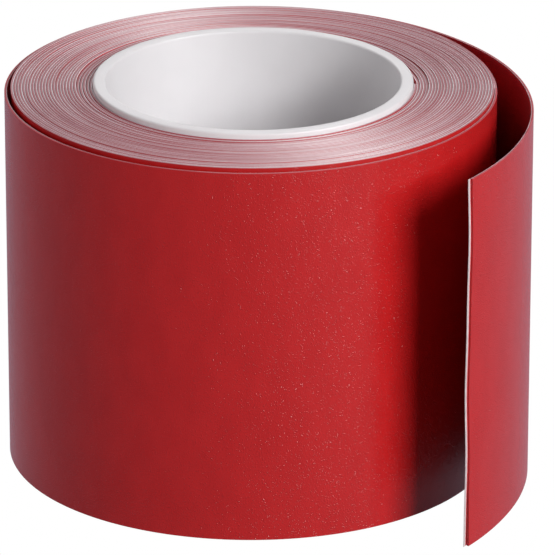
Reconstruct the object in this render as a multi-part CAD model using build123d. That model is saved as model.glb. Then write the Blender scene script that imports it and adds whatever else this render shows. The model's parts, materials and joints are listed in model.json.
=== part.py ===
"""A roll of self-adhesive marking vinyl, wound on a plastic core and standing on its end.

Sizes are in millimetres and angles in degrees. The Z axis is the core's axis, and Z = 0 is the
surface that the roll stands on. Seen from above, the web winds outwards clockwise. Its last turn is
loose and has slipped down to the surface, and its free end springs open on the +X side and hangs
round towards -Y. The free end bends, so it is cut into short rigid pieces with a hinge line between
each piece and the next.
"""

import os
from math import cos, degrees, pi, radians, sin

from build123d import *

# Core: a plastic tube that fits a 3 inch mandrel.
bore_diameter = 76.5
core_wall = 3.4
core_edge_radius = 0.6

# Web: face film, adhesive and release liner, slit to one width.
web_width = 100.0
film_thickness = 0.42
adhesive_thickness = 0.10
liner_thickness = 0.15

# Winding: whole turns, the air held between them, how far up the core the web sits,
# and how far the core stands above it.
wound_turns = 27
turn_air = 0.105
web_lift = 1.0
core_stand = 1.5

# Double-sided tape between the core and the web's first end.
start_tape_thickness = 0.12
start_tape_length = 28.0
start_tape_margin = 5.0

# Last turn: the air under it on the -X side, how far its back half drifts towards +X,
# and the direction from its centre in which it ends and the free end starts.
loose_gap = 0.95
loose_drift = 1.0
last_turn_end = 55.0

# Free end: its length, the bend of its first piece, how much straighter each next piece is,
# and the clear line between two pieces.
tail_length = 135.0
tail_pieces = 6
first_bend = 17.1
bend_step = 0.87
flex_gap = 0.3

core_radius = bore_diameter / 2 + core_wall
core_length = web_lift + web_width + core_stand
web_thickness = liner_thickness + adhesive_thickness + film_thickness
turn_pitch = web_thickness + turn_air
start_radius = core_radius + start_tape_thickness

# Each layer's inner and outer face, measured out from the web's inner face.
layers = {
    "liner": (0.0, liner_thickness),
    "adhesive": (liner_thickness, liner_thickness + adhesive_thickness),
    "film": (liner_thickness + adhesive_thickness, web_thickness),
}

# An arc of the web's inner face is (centre X, centre Y, radius, start angle, end angle).
# Angles are taken about the arc's own centre, and fall as the web runs clockwise.


def wound_arcs():
    """Half turns whose centres step from side to side, so each runs smoothly into the next."""
    arcs = []
    for half_turn in range(2 * round(wound_turns)):
        side = -1 if half_turn % 2 == 0 else 1
        radius = start_radius + turn_pitch / 4 + half_turn * turn_pitch / 2
        start = -180.0 * half_turn
        arcs.append((side * turn_pitch / 4, 0.0, radius, start, start - 180.0))
    return arcs


def last_turn_arcs():
    """The loose turn: a front half that leaves the roll, and most of a back half."""
    start_x = start_radius + round(wound_turns) * turn_pitch
    turn_below_x = start_x - turn_pitch / 2
    left_x = turn_below_x + web_thickness + loose_gap
    front_radius = (start_x + left_x) / 2
    back_radius = left_x + loose_drift
    return [
        (start_x - front_radius, 0.0, front_radius, 0.0, -180.0),
        (loose_drift, 0.0, back_radius, -180.0, last_turn_end - 360.0),
    ]


def tail_arcs():
    """The free end's pieces, each tangent to the one before and a little straighter."""
    centre_x, centre_y, radius, _, angle = last_turn_arcs()[-1]
    piece_length = tail_length / tail_pieces
    arcs = []
    for piece in range(tail_pieces):
        bend = first_bend - bend_step * piece
        next_radius = piece_length / radians(bend)
        centre_x += (radius - next_radius) * cos(radians(angle))
        centre_y += (radius - next_radius) * sin(radians(angle))
        radius = next_radius
        arcs.append((centre_x, centre_y, radius, angle, angle - bend))
        angle -= bend
    return arcs


def trimmed(arc, start_trim, end_trim):
    """The arc shortened at each end by a length along it."""
    centre_x, centre_y, radius, start, end = arc
    return (
        centre_x,
        centre_y,
        radius,
        start - degrees(start_trim / radius),
        end + degrees(end_trim / radius),
    )


def arc_edge(arc, offset, backwards=False):
    """The arc as an edge, moved out by the offset."""
    centre_x, centre_y, radius, start, end = arc
    angles = [start, (start + end) / 2, end]
    if backwards:
        angles.reverse()
    points = [
        (
            centre_x + (radius + offset) * cos(radians(angle)),
            centre_y + (radius + offset) * sin(radians(angle)),
        )
        for angle in angles
    ]
    return ThreePointArc(*points)


def strip(arcs, faces, bottom, height):
    """One layer of the web along its arcs, standing on edge."""
    inner, outer = faces
    outside = [arc_edge(arc, outer) for arc in arcs]
    inside = [arc_edge(arc, inner, backwards=True) for arc in reversed(arcs)]
    end_cut = Line(outside[-1] @ 1, inside[0] @ 0)
    start_cut = Line(inside[-1] @ 1, outside[0] @ 0)
    outline = Wire([*outside, end_cut, *inside, start_cut])
    face = Pos(0, 0, bottom) * Face(outline)
    return Solid.extrude(face, Vector(0, 0, height))


def make_core():
    """The tube, its ends rounded over inside and out."""
    tube = Cylinder(core_radius, core_length, align=(Align.CENTER, Align.CENTER, Align.MIN))
    tube -= Cylinder(bore_diameter / 2, core_length, align=(Align.CENTER, Align.CENTER, Align.MIN))
    rims = tube.edges().filter_by(GeomType.CIRCLE)
    return fillet(rims, min(core_edge_radius, core_wall / 3))


def make_start_tape():
    """The tape lies on the core under the first part of the web."""
    sweep_angle = degrees(start_tape_length / core_radius)
    arc = (0.0, 0.0, core_radius, 0.0, -sweep_angle)
    height = web_width - 2 * start_tape_margin
    return strip([arc], (0.0, start_tape_thickness), web_lift + start_tape_margin, height)


def make_wound_layer(layer):
    """All the tight turns of one layer, as one strip."""
    return strip(wound_arcs(), layers[layer], web_lift, web_width)


def make_last_turn_layer(layer):
    """The loose turn of one layer, cut back at the first hinge line."""
    front, back = last_turn_arcs()
    return strip([front, trimmed(back, 0.0, flex_gap / 2)], layers[layer], 0.0, web_width)


def make_tail_layer(layer, piece):
    """One piece of the free end, cut back at its hinge lines."""
    end_trim = flex_gap / 2 if piece < tail_pieces else 0.0
    arc = trimmed(tail_arcs()[piece - 1], flex_gap / 2, end_trim)
    return strip([arc], layers[layer], 0.0, web_width)


def hinge_points():
    """The hinge lines' places, midway through the web's thickness."""
    middle = web_thickness / 2
    return [
        (
            centre_x + (radius + middle) * cos(radians(start)),
            centre_y + (radius + middle) * sin(radians(start)),
        )
        for centre_x, centre_y, radius, start, _ in tail_arcs()
    ]


parts = {"core": make_core(), "start_tape": make_start_tape()}
for layer in layers:
    parts["wound_" + layer] = make_wound_layer(layer)
    parts["last_turn_" + layer] = make_last_turn_layer(layer)
    for piece in range(1, tail_pieces + 1):
        parts[f"tail_{layer}_{piece}"] = make_tail_layer(layer, piece)

os.makedirs("parts", exist_ok=True)
for node, shape in parts.items():
    export_step(shape, f"parts/{node}.step")

web_length = sum(radius * radians(start - end) for _, _, radius, start, end in wound_arcs())
web_length += sum(radius * radians(start - end) for _, _, radius, start, end in last_turn_arcs())
print("web length", round(web_length + tail_length))
for piece, (x, y) in enumerate(hinge_points(), start=1):
    print("hinge line", piece, round(x, 3), round(y, 3))
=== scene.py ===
import json
from math import ceil, cos, pi, radians, sin

import bpy
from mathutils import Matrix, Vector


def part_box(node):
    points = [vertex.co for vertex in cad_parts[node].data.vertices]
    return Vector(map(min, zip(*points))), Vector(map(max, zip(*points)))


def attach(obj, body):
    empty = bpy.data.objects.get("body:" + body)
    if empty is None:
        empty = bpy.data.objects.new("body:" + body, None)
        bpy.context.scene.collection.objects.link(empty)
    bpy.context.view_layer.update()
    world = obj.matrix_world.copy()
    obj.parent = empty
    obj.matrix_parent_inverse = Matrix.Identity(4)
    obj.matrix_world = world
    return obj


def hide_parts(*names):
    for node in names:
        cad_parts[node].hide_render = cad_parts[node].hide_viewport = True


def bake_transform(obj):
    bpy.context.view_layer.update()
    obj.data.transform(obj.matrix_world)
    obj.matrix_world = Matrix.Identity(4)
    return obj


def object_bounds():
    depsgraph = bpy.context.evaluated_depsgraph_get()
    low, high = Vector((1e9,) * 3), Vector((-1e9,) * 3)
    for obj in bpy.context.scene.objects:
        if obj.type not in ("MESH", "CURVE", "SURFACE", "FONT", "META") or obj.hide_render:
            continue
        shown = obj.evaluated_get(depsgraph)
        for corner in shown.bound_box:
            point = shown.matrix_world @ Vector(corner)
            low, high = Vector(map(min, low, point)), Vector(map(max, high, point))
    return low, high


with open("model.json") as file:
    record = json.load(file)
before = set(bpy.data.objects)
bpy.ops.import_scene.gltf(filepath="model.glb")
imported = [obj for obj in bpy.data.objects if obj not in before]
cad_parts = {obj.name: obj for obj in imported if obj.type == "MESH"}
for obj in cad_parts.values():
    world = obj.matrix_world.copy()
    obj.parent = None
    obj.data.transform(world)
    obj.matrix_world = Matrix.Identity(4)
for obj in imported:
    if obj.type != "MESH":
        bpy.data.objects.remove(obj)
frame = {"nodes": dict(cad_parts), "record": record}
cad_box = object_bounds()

mm = 0.001


# Core. A tube of white plastic that fits a 3 inch mandrel. It is extruded and cut to length, and
# its rims are rounded over inside and out, so only faint draw marks and a satin skin are left.
core_low, core_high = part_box("core")
core_radius = core_high[0]
bore = next(mount for mount in frame["record"]["mounts"] if mount["name"] == "core_bore")
bore_radius = bore["dims"]["r_mm"] * mm
core_edge = 0.6 * mm
core_steps = 160


def add_section(name, centre, radius, angle, faces, heights, corner, corner_steps=1, rows=1):
    """The section of a standing wall, at the angle about the centre, left in edit mode to be spun.

    The faces are measured out from the radius, and the rows divide the wall's height."""
    bpy.ops.object.select_all(action="DESELECT")
    inner, outer = faces
    low, high = heights
    middle = radius + (inner + outer) / 2
    place = (centre[0] + middle * cos(angle), centre[1] + middle * sin(angle), (low + high) / 2)
    bpy.ops.mesh.primitive_plane_add(size=1, location=place, rotation=(pi / 2, 0, angle))
    piece = bpy.context.object
    piece.name = name
    piece.data.name = name
    piece.scale = (outer - inner, high - low, 1)
    bpy.ops.object.transform_apply(location=True, rotation=True, scale=True)
    bpy.ops.object.mode_set(mode="EDIT")
    bpy.ops.mesh.select_all(action="SELECT")
    bpy.ops.mesh.bevel(offset=corner, segments=corner_steps, affect="VERTICES")
    bpy.ops.mesh.delete(type="ONLY_FACE")
    if rows > 1:
        bpy.ops.object.mode_set(mode="OBJECT")
        bpy.ops.object.mode_set(mode="EDIT")
        bpy.ops.mesh.select_mode(type="EDGE")
        bpy.ops.mesh.select_all(action="DESELECT")
        bpy.ops.object.mode_set(mode="OBJECT")
        for edge in piece.data.edges:
            ends = [piece.data.vertices[index].co.z for index in edge.vertices]
            edge.select = abs(ends[0] - ends[1]) > (high - low) / 2
        bpy.ops.object.mode_set(mode="EDIT")
        bpy.ops.mesh.subdivide(number_cuts=rows - 1)
        bpy.ops.mesh.select_mode(type="VERT")
    bpy.ops.mesh.select_all(action="SELECT")
    return piece


def close_up(piece):
    """Merges and caps what was spun, turns its faces outwards and smooths its round faces."""
    bpy.ops.mesh.select_all(action="SELECT")
    bpy.ops.mesh.remove_doubles(threshold=0.001 * mm)
    bpy.ops.mesh.fill_holes(sides=0)
    bpy.ops.mesh.select_all(action="SELECT")
    bpy.ops.mesh.normals_make_consistent(inside=False)
    bpy.ops.object.mode_set(mode="OBJECT")
    bpy.ops.object.shade_smooth_by_angle(angle=radians(35))


def new_material(name, colour, roughness):
    """A material with a plain Principled shader, and its nodes and links to add to."""
    material = bpy.data.materials.new(name)
    material.use_nodes = True
    shader = material.node_tree.nodes["Principled BSDF"]
    shader.inputs["Base Color"].default_value = (*colour, 1)
    shader.inputs["Roughness"].default_value = roughness
    return material, shader


def make_relief_group():
    """Noise on the piece's own coordinates, as a height for bumps and a mask for colour."""
    group = bpy.data.node_groups.new("skin_relief", "ShaderNodeTree")
    for socket, default in (("Scale", 100), ("Detail", 2), ("Along Z", 1), ("Lowest", 0)):
        made = group.interface.new_socket(socket, in_out="INPUT", socket_type="NodeSocketFloat")
        made.default_value = default
    group.interface.new_socket("Height", in_out="OUTPUT", socket_type="NodeSocketFloat")
    nodes = group.nodes
    links = group.links
    inputs = nodes.new("NodeGroupInput")
    outputs = nodes.new("NodeGroupOutput")
    place = nodes.new("ShaderNodeTexCoord")
    stretch = nodes.new("ShaderNodeCombineXYZ")
    stretch.inputs["X"].default_value = 1
    stretch.inputs["Y"].default_value = 1
    scaled = nodes.new("ShaderNodeVectorMath")
    scaled.operation = "MULTIPLY"
    noise = nodes.new("ShaderNodeTexNoise")
    peaks = nodes.new("ShaderNodeMath")
    peaks.operation = "MAXIMUM"
    links.new(inputs.outputs["Along Z"], stretch.inputs["Z"])
    links.new(place.outputs["Object"], scaled.inputs[0])
    links.new(stretch.outputs["Vector"], scaled.inputs[1])
    links.new(scaled.outputs["Vector"], noise.inputs["Vector"])
    links.new(inputs.outputs["Scale"], noise.inputs["Scale"])
    links.new(inputs.outputs["Detail"], noise.inputs["Detail"])
    links.new(noise.outputs["Fac"], peaks.inputs[0])
    links.new(inputs.outputs["Lowest"], peaks.inputs[1])
    links.new(peaks.outputs["Value"], outputs.inputs["Height"])
    return group


skin_relief = make_relief_group()


def add_relief(material, scale, detail=2.0, along_z=1.0, lowest=0.0):
    """The relief group placed in a material. A lowest value leaves only the peaks above it."""
    relief = material.node_tree.nodes.new("ShaderNodeGroup")
    relief.node_tree = skin_relief
    relief.inputs["Scale"].default_value = scale
    relief.inputs["Detail"].default_value = detail
    relief.inputs["Along Z"].default_value = along_z
    relief.inputs["Lowest"].default_value = lowest
    return relief.outputs["Height"]


def add_bump(material, shader, heights):
    """Bumps from (height, strength, depth), each on top of the one before."""
    last = None
    for height, strength, depth in heights:
        bump = material.node_tree.nodes.new("ShaderNodeBump")
        bump.inputs["Strength"].default_value = strength
        bump.inputs["Distance"].default_value = depth
        material.node_tree.links.new(height, bump.inputs["Height"])
        if last is not None:
            material.node_tree.links.new(last, bump.inputs["Normal"])
        last = bump.outputs["Normal"]
    material.node_tree.links.new(last, shader.inputs["Normal"])


def add_blotches(material, shader, mask, colours, socket="Base Color"):
    """Colours or greys mixed by a mask, from its low places to its high ones."""
    ramp = material.node_tree.nodes.new("ShaderNodeValToRGB")
    ramp.color_ramp.elements[0].position = 0.35
    ramp.color_ramp.elements[1].position = 0.65
    for element, colour in zip(ramp.color_ramp.elements, colours):
        element.color = (*colour, 1)
    material.node_tree.links.new(mask, ramp.inputs["Fac"])
    material.node_tree.links.new(ramp.outputs["Color"], shader.inputs[socket])


core_plastic, shader = new_material("core_plastic", (0.75, 0.73, 0.745), 0.5)
marks = add_relief(core_plastic, 900, 3, 0.03)
skin = add_relief(core_plastic, 2600, 2)
clouding = add_relief(core_plastic, 45, 3)
add_bump(core_plastic, shader, [(marks, 0.10, 0.1 * mm), (skin, 0.12, 0.04 * mm)])
add_blotches(core_plastic, shader, clouding, [(0.73, 0.71, 0.725), (0.77, 0.75, 0.765)])
shader.inputs["Subsurface Weight"].default_value = 0.15
shader.inputs["Subsurface Radius"].default_value = (1.0, 0.9, 0.9)
shader.inputs["Subsurface Scale"].default_value = 1.2 * mm

core = add_section(
    "core_tube",
    (0, 0),
    bore_radius,
    0,
    (0, core_radius - bore_radius),
    (core_low[2], core_high[2]),
    core_edge,
    corner_steps=5,
)
bpy.ops.mesh.spin(steps=core_steps, angle=2 * pi, center=(0, 0, 0), axis=(0, 0, 1))
close_up(core)
core.data.materials.append(core_plastic)
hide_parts("core")
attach(core, "roll")


# Start tape. A short strip of double-sided tape on the core holds the web's first turn. It lies
# hidden under the web, so its plain solid stays and only gets a matt, slightly yellow finish.
start_tape_thickness = 0.12 * mm
start_tape_finish, shader = new_material("start_tape_finish", (0.80, 0.76, 0.62), 0.8)
fibres = add_relief(start_tape_finish, 3000, 4, 0.2)
add_bump(start_tape_finish, shader, [(fibres, 0.3, 0.03 * mm)])
add_blotches(start_tape_finish, shader, fibres, [(0.74, 0.70, 0.57), (0.83, 0.79, 0.65)])
frame["nodes"]["start_tape"].data.materials.clear()
frame["nodes"]["start_tape"].data.materials.append(start_tape_finish)


# Web. One strip of red vinyl film with clear adhesive on its back and a clear release liner under
# that, slit to width with a knife. It shows its red skin outside, and its pale cut edges at the
# top, which run along the web and so catch the light across it.
web_thickness = 0.67 * mm
layer_faces = {
    "liner": (0, 0.15 * mm),
    "adhesive": (0.15 * mm, 0.25 * mm),
    "film": (0.25 * mm, web_thickness),
}
turn_air = 0.105 * mm
turn_pitch = web_thickness + turn_air
streaks_per_turn = 0.8
step_length = 1.5 * mm
layer_corner = {"liner": 0.03 * mm, "adhesive": 0.02 * mm, "film": 0.06 * mm}


def make_face_finish(name, colours, roughness, coat):
    """The film's semi-gloss skin: fine orange peel and sparse grains on slow, shallow waves."""
    material, shader = new_material(name, colours[0], roughness)
    peel = add_relief(material, 3900, 1)
    grains = add_relief(material, 3200, 0, lowest=0.57)
    waves = add_relief(material, 70, 1, 0.6)
    clouding = add_relief(material, 160, 3, 0.5)
    heights = [(waves, 0.2, 0.4 * mm), (peel, 1.0, 0.05 * mm), (grains, 1.0, 0.26 * mm)]
    add_bump(material, shader, heights)
    add_blotches(material, shader, clouding, colours)
    shader.inputs["Coat Weight"].default_value = coat
    shader.inputs["Coat Roughness"].default_value = 0.6
    shader.inputs["Specular IOR Level"].default_value = 0.3
    return material


def make_streaks_group():
    """A mask that changes from turn to turn and slowly along each turn."""
    group = bpy.data.node_groups.new("turn_streaks", "ShaderNodeTree")
    for socket, default in (("Turns per Metre", 1000), ("Along Scale", 20)):
        made = group.interface.new_socket(socket, in_out="INPUT", socket_type="NodeSocketFloat")
        made.default_value = default
    group.interface.new_socket("Mask", in_out="OUTPUT", socket_type="NodeSocketFloat")
    nodes = group.nodes
    links = group.links
    inputs = nodes.new("NodeGroupInput")
    outputs = nodes.new("NodeGroupOutput")
    place = nodes.new("ShaderNodeTexCoord")
    flatten = nodes.new("ShaderNodeVectorMath")
    flatten.operation = "MULTIPLY"
    flatten.inputs[1].default_value = (1, 1, 0)
    radius = nodes.new("ShaderNodeVectorMath")
    radius.operation = "LENGTH"
    turns = nodes.new("ShaderNodeMath")
    turns.operation = "MULTIPLY"
    slow = nodes.new("ShaderNodeVectorMath")
    slow.operation = "SCALE"
    parts = nodes.new("ShaderNodeSeparateXYZ")
    joined = nodes.new("ShaderNodeCombineXYZ")
    noise = nodes.new("ShaderNodeTexNoise")
    noise.inputs["Scale"].default_value = 1
    noise.inputs["Detail"].default_value = 1
    links.new(place.outputs["Object"], flatten.inputs[0])
    links.new(flatten.outputs["Vector"], radius.inputs[0])
    links.new(radius.outputs["Value"], turns.inputs[0])
    links.new(inputs.outputs["Turns per Metre"], turns.inputs[1])
    links.new(flatten.outputs["Vector"], slow.inputs[0])
    links.new(inputs.outputs["Along Scale"], slow.inputs["Scale"])
    links.new(slow.outputs["Vector"], parts.inputs["Vector"])
    links.new(turns.outputs["Value"], joined.inputs["X"])
    links.new(parts.outputs["X"], joined.inputs["Y"])
    links.new(parts.outputs["Y"], joined.inputs["Z"])
    links.new(joined.outputs["Vector"], noise.inputs["Vector"])
    links.new(noise.outputs["Fac"], outputs.inputs["Mask"])
    return group


turn_streaks = make_streaks_group()


def make_edge_finish(name, colours, roughness, anisotropy, gloss):
    """A knife-cut edge: fine score lines along the web, with dust in some of the turns."""
    material, shader = new_material(name, colours[0], roughness)
    streaks = material.node_tree.nodes.new("ShaderNodeGroup")
    streaks.node_tree = turn_streaks
    streaks.inputs["Turns per Metre"].default_value = streaks_per_turn / turn_pitch
    streaks.inputs["Along Scale"].default_value = 28
    add_blotches(material, shader, streaks.outputs["Mask"], colours)
    dust = add_relief(material, 700, 4)
    add_bump(material, shader, [(dust, 0.25, 0.02 * mm)])
    shader.inputs["Anisotropic"].default_value = anisotropy
    shader.inputs["Anisotropic Rotation"].default_value = 0.25
    shader.inputs["IOR"].default_value = gloss
    shader.inputs["Specular IOR Level"].default_value = 1.0
    along = material.node_tree.nodes.new("ShaderNodeTangent")
    along.direction_type = "RADIAL"
    along.axis = "Z"
    material.node_tree.links.new(along.outputs["Tangent"], shader.inputs["Tangent"])
    return material


face_finish = {
    "film": make_face_finish(
        "red_film", [(0.48, 0.007, 0.008), (0.51, 0.009, 0.010)], 0.22, 0.25
    ),
    "adhesive": make_face_finish(
        "red_under_adhesive", [(0.42, 0.03, 0.035), (0.47, 0.035, 0.04)], 0.3, 0.2
    ),
    "liner": make_face_finish(
        "red_under_liner", [(0.52, 0.02, 0.03), (0.58, 0.025, 0.035)], 0.3, 0.6
    ),
}
edge_finish = {
    "film": make_edge_finish(
        "film_edge", [(0.32, 0.012, 0.025), (0.37, 0.08, 0.10)], 0.77, 0.65, 2.0
    ),
    "adhesive": make_edge_finish(
        "adhesive_edge", [(0.34, 0.08, 0.10), (0.42, 0.20, 0.23)], 0.77, 0.6, 2.3
    ),
    "liner": make_edge_finish(
        "liner_edge", [(0.42, 0.28, 0.32), (0.90, 0.82, 0.86)], 0.77, 0.6, 2.8
    ),
}
open_edge_finish = {
    "film": make_edge_finish(
        "open_film_edge", [(0.42, 0.02, 0.03), (0.50, 0.07, 0.09)], 0.8, 0.3, 1.45
    ),
    "adhesive": make_edge_finish(
        "open_adhesive_edge", [(0.42, 0.12, 0.14), (0.5, 0.2, 0.22)], 0.8, 0.3, 1.45
    ),
    "liner": make_edge_finish(
        "open_liner_edge", [(0.46, 0.26, 0.29), (0.66, 0.48, 0.52)], 0.8, 0.3, 1.45
    ),
}


def spin_along(arcs, step):
    """Spins the section along arcs of (centre X, centre Y, radius, start, turn), clockwise."""
    for centre_x, centre_y, radius, _, turn in arcs:
        steps = max(2, ceil(radius * turn / step))
        bpy.ops.mesh.spin(
            steps=steps,
            angle=turn,
            center=(centre_x, centre_y, 0),
            axis=(0, 0, 1),
        )


def give_finishes(piece, layer):
    """The layer's skin on its standing faces, and its cut edge above and below."""
    piece.data.materials.append(face_finish[layer])
    piece.data.materials.append(edge_finish[layer])
    for face in piece.data.polygons:
        face.material_index = 1 if abs(face.normal.z) > 0.3 else 0


def add_layer(name, layer, arcs, heights, step=step_length, rows=1):
    """One layer of the web along its arcs, with its skin and its cut edges."""
    centre_x, centre_y, radius, start, _ = arcs[0]
    piece = add_section(
        name,
        (centre_x, centre_y),
        radius,
        start,
        layer_faces[layer],
        heights,
        layer_corner[layer],
        rows=rows,
    )
    spin_along(arcs, step)
    close_up(piece)
    give_finishes(piece, layer)
    piece.data.materials[1] = open_edge_finish[layer]
    return piece


# Wound web. Twenty-seven tight turns with a little air between them. The winding wanders up and
# down by a tenth of a millimetre, a few turns stand proud where the roll was knocked, and the end
# of the last tight turn comes down to meet the loose one.
wound_turns = 27
web_low, web_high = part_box("wound_film")
start_radius = core_radius + start_tape_thickness
turn_steps = 120
slip = web_low[2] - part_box("last_turn_film")[0][2]
wander = [
    (0.05 * mm, 6.3, 0.4),
    (0.03 * mm, 2.7, 2.1),
    (0.02 * mm, 1.37, 4.0),
    (0.02 * mm, 0.61, 1.3),
]
first_turns_lift = 0.13 * mm
settle_start = 0.6
settle_turns = 0.2
come_down_turns = 0.12
flat_turns = 5
climb_part = 0.05
proud_stretches = [
    (5.50, 0.24, 0.24 * mm),
    (6.45, 0.12, 0.16 * mm),
    (12.52, 0.10, 0.20 * mm),
    (4.98, 0.08, 0.18 * mm),
    (9.72, 0.14, 0.12 * mm),
    (17.30, 0.16, 0.10 * mm),
    (21.60, 0.12, 0.12 * mm),
]


def smooth_step(value):
    """0 below 0, 1 above 1 and smooth between."""
    value = min(max(value, 0), 1)
    return value * value * (3 - 2 * value)


def lift_at(turn):
    """How far the web stands above its level place after so many turns."""
    lift = sum(size * sin(2 * pi * turn / period + phase) for size, period, phase in wander)
    lift += first_turns_lift * cos(2 * pi * turn / 2.1) * smooth_step(1 - turn / 4)
    for middle, half_length, height in proud_stretches:
        lift += height * smooth_step(1 - abs(turn - middle) / half_length)
    settle = smooth_step((turn - (wound_turns - settle_start)) / settle_turns)
    come_down = smooth_step((turn - (wound_turns - come_down_turns)) / come_down_turns)
    return lift * (1 - settle) - slip * come_down


def out_at(turn):
    """How far out the web lies: flat on the core at first, then climbing over its own start."""
    part = turn % 1
    flat = max(1 - turn / flat_turns, 0)
    climb = smooth_step((part - (1 - climb_part)) / climb_part)
    return turn_pitch * (turn - flat * (part - climb))


for layer in layer_faces:
    piece = add_section(
        "wound_web_" + layer,
        (0, 0),
        start_radius,
        0,
        layer_faces[layer],
        (web_low[2], web_high[2]),
        layer_corner[layer],
    )
    bpy.ops.mesh.spin(
        steps=turn_steps,
        angle=2 * pi,
        use_auto_merge=False,
        center=(0, 0, 0),
        axis=(0, 0, 1),
    )
    bpy.ops.object.mode_set(mode="OBJECT")
    section_points = len(piece.data.vertices) // (turn_steps + 1)
    turns = [piece]
    for _ in range(1, wound_turns):
        again = bpy.data.objects.new(piece.name, piece.data.copy())
        bpy.context.scene.collection.objects.link(again)
        again.select_set(True)
        turns.append(again)
    for number, each in enumerate(turns):
        for vertex in each.data.vertices:
            turn = number + vertex.index // section_points / turn_steps
            radius = (vertex.co.x**2 + vertex.co.y**2) ** 0.5
            wider = 1 + out_at(turn) / radius
            vertex.co.x *= wider
            vertex.co.y *= wider
            vertex.co.z += lift_at(turn)
    bpy.ops.object.join()
    bpy.ops.object.mode_set(mode="EDIT")
    close_up(piece)
    give_finishes(piece, layer)
    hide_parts("wound_" + layer)
    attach(piece, "roll")


# Last turn. The web's outermost turn has slackened and slipped down to the surface. Its front half
# leaves the roll and its back half drifts out, up to where the free end starts.
loose_low, loose_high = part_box("last_turn_film")
loose_gap = 0.95 * mm
loose_drift = 1.0 * mm
last_turn_end = radians(55)
free_end_lead = 11.25 * mm
start_x = start_radius + wound_turns * turn_pitch
left_x = start_x - turn_pitch / 2 + web_thickness + loose_gap
front_radius = (start_x + left_x) / 2
back_radius = left_x + loose_drift
back_turn = pi - last_turn_end
lead_turn = free_end_lead / back_radius
last_turn_arcs = [
    (start_x - front_radius, 0, front_radius, 0, pi),
    (loose_drift, 0, back_radius, -pi, back_turn - lead_turn),
]

for layer in layer_faces:
    piece = add_layer(
        "loose_turn_" + layer,
        layer,
        last_turn_arcs,
        (loose_low[2], loose_high[2]),
    )
    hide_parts("last_turn_" + layer)
    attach(piece, "roll")


# Free end. The stiff web springs open at the back and hangs clear round to the front right. It
# bends all along its length, so each piece here is cut between two hinge lines and is shaped across
# the one between them.
# The film and its adhesive are cut together, and the liner is left a little longer to peel by.
tail_length = 135 * mm
tail_pieces = 6
first_bend = radians(17.1)
bend_step = radians(0.87)
cut_end_rows = 40
liner_overhang = 1.0 * mm
peel_height = 26 * mm
peel_length = 7 * mm
peel_depth = 0.3 * mm

tail_arcs = []
centre_x, centre_y, radius, angle = loose_drift, 0, back_radius, last_turn_end
for number in range(tail_pieces):
    bend = first_bend - bend_step * number
    next_radius = tail_length / tail_pieces / bend
    centre_x += (radius - next_radius) * cos(angle)
    centre_y += (radius - next_radius) * sin(angle)
    radius = next_radius
    tail_arcs.append((centre_x, centre_y, radius, angle, bend))
    angle -= bend


bare_liner, shader = new_material("bare_liner", (0.66, 0.56, 0.57), 0.4)
milk = add_relief(bare_liner, 500, 2)
add_blotches(bare_liner, shader, milk, [(0.62, 0.52, 0.53), (0.70, 0.61, 0.62)])
add_bump(bare_liner, shader, [(milk, 0.1, 0.05 * mm)])


def first_half(arc):
    centre_x, centre_y, radius, start, turn = arc
    return (centre_x, centre_y, radius, start, turn / 2)


def second_half(arc):
    centre_x, centre_y, radius, start, turn = arc
    return (centre_x, centre_y, radius, start - turn / 2, turn / 2)


def wave_at(height):
    """The slight wave that the cut end has taken, by height."""
    return 0.22 * mm * sin(height / (11 * mm) + 0.6) + 0.08 * mm * sin(height / (4.6 * mm) + 2)


lead_arc = (loose_drift, 0, back_radius, last_turn_end + lead_turn, lead_turn)
for number in range(1, tail_pieces + 1):
    before = lead_arc if number == 1 else second_half(tail_arcs[number - 2])
    after = tail_arcs[number - 1]
    last = number == tail_pieces
    for layer in layer_faces:
        over = after if last else first_half(after)
        if last and layer == "liner":
            over = (*over[:4], over[4] + liner_overhang / over[2])
        piece = add_layer(
            f"free_end_{layer}_{number}",
            layer,
            [before, over],
            (loose_low[2], loose_high[2]),
            step_length / 2 if last else step_length,
            rows=cut_end_rows if last else 1,
        )
        if last:
            centre_x, centre_y, radius, start, turn = after
            if layer == "liner":
                piece.data.materials.append(bare_liner)
                for face in piece.data.polygons:
                    out_x = face.center.x - centre_x
                    out_y = face.center.y - centre_y
                    film_end = start - turn
                    if out_x * sin(film_end) - out_y * cos(film_end) > 0:
                        face.material_index = 2
            for vertex in piece.data.vertices:
                out_x = vertex.co.x - centre_x
                out_y = vertex.co.y - centre_y
                out = (out_x**2 + out_y**2) ** 0.5
                along = radius * ((out_x * sin(start) - out_y * cos(start)) / out)
                share = smooth_step(along / (radius * turn))
                move = wave_at(vertex.co.z) * share
                if layer == "liner":
                    near_end = smooth_step((along - radius * turn + peel_length) / peel_length)
                    near_foot = smooth_step(1 - vertex.co.z / peel_height)
                    move -= peel_depth * near_end * near_foot
                vertex.co.x += move * out_x / out
                vertex.co.y += move * out_y / out
        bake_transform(piece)
        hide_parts(f"tail_{layer}_{number}")


# Floor, light and camera. A white sweep, a soft key lamp from the front right, a weaker one behind
# that skims the cut edges, a fill on the left and a small lamp that only glints in the film's grain.
# The camera is a long lens from in front and a little above.
floor_finish = bpy.data.materials.new("floor_finish")
floor_finish.use_nodes = True


def show_by_ray(tree, plain, in_gloss, in_view, surface):
    """Shows one shader in gloss, one to the eye, and the plain one to all other light."""
    seen = tree.nodes.new("ShaderNodeLightPath")
    last = plain
    for ray, shader in (("Is Glossy Ray", in_gloss), ("Is Camera Ray", in_view)):
        mix = tree.nodes.new("ShaderNodeMixShader")
        tree.links.new(seen.outputs[ray], mix.inputs["Fac"])
        tree.links.new(last, mix.inputs[1])
        tree.links.new(shader, mix.inputs[2])
        last = mix.outputs["Shader"]
    tree.links.new(last, surface)


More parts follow.
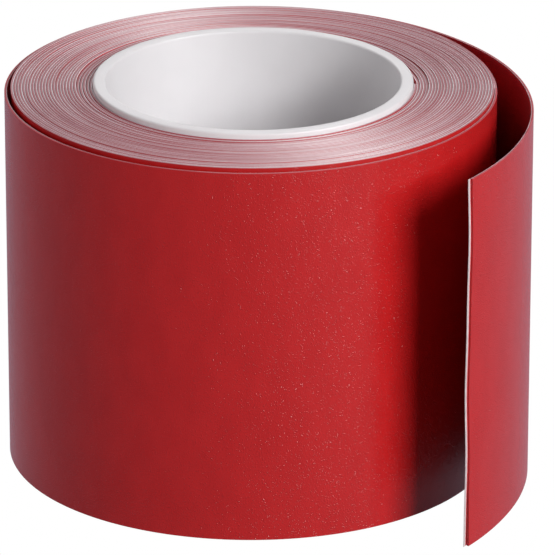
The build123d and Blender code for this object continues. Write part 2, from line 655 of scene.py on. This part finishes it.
tree = floor_finish.node_tree
matt = tree.nodes["Principled BSDF"]
matt.inputs["Base Color"].default_value = (0.22, 0.22, 0.22, 1)
matt.inputs["Roughness"].default_value = 0.9
glow = tree.nodes.new("ShaderNodeEmission")
sheen = tree.nodes.new("ShaderNodeEmission")
sheen.inputs["Color"].default_value = (0.97, 0.86, 1.05, 1)
sheen.inputs["Strength"].default_value = 0.42
show_by_ray(
    tree,
    matt.outputs["BSDF"],
    sheen.outputs["Emission"],
    glow.outputs["Emission"],
    tree.nodes["Material Output"].inputs["Surface"],
)
bpy.ops.object.select_all(action="DESELECT")
bpy.ops.mesh.primitive_plane_add(size=3, location=(0, 0, cad_box[0][2]))
floor = bpy.context.object
floor.name = "floor"
floor.data.materials.append(floor_finish)

world = bpy.data.worlds.new("studio")
bpy.context.scene.world = world
world.use_nodes = True
tree = world.node_tree
even = tree.nodes["Background"]
even.inputs["Color"].default_value = (1.0, 0.94, 0.92, 1)
even.inputs["Strength"].default_value = 0.12
mirrored = tree.nodes.new("ShaderNodeBackground")
mirrored.inputs["Color"].default_value = (0.97, 0.88, 1.05, 1)
mirrored.inputs["Strength"].default_value = 0.28
white = tree.nodes.new("ShaderNodeBackground")
white.inputs["Color"].default_value = (1, 1, 1, 1)
show_by_ray(
    tree,
    even.outputs["Background"],
    mirrored.outputs["Background"],
    white.outputs["Background"],
    tree.nodes["World Output"].inputs["Surface"],
)


lamp_distance = 1.6


def add_lamp(name, azimuth, elevation, size, power):
    """A square soft lamp that faces the roll's middle."""
    data = bpy.data.lights.new(name, "AREA")
    data.size = size
    data.energy = power
    lamp = bpy.data.objects.new(name, data)
    bpy.context.scene.collection.objects.link(lamp)
    level = lamp_distance * cos(elevation)
    lamp.location = (
        level * cos(azimuth),
        level * sin(azimuth),
        lamp_distance * sin(elevation) + core_high[2] / 2,
    )
    lamp.rotation_euler = (pi / 2 - elevation, 0, azimuth + pi / 2)
    lamp.visible_camera = False
    return lamp


add_lamp("key_lamp", radians(-49), radians(29), 0.6, 25.5)
add_lamp("back_lamp", radians(90), radians(34), 0.7, 8)
glint_lamp = add_lamp("glint_lamp", radians(-30), radians(20), 0.15, 20)
glint_lamp.visible_diffuse = False
fill_lamp = add_lamp("fill_lamp", radians(-180), radians(12), 0.8, 7)
fill_lamp.visible_glossy = False

camera_distance = 1.5
camera_height = 0.63425
camera_yaw = 0.00381
camera_pitch = 0.37306
camera_roll = -0.00114
camera_data = bpy.data.cameras.new("camera")
camera_data.lens = 397.5
camera_data.sensor_width = 36
camera_data.clip_start = 0.05
camera = bpy.data.objects.new("camera", camera_data)
bpy.context.scene.collection.objects.link(camera)
camera.location = (0, -camera_distance, camera_height)
camera.rotation_mode = "XYZ"
camera.rotation_euler = (pi / 2 - camera_pitch, camera_roll, -camera_yaw)
bpy.context.scene.camera = camera
bpy.context.scene.view_settings.view_transform = "Standard"
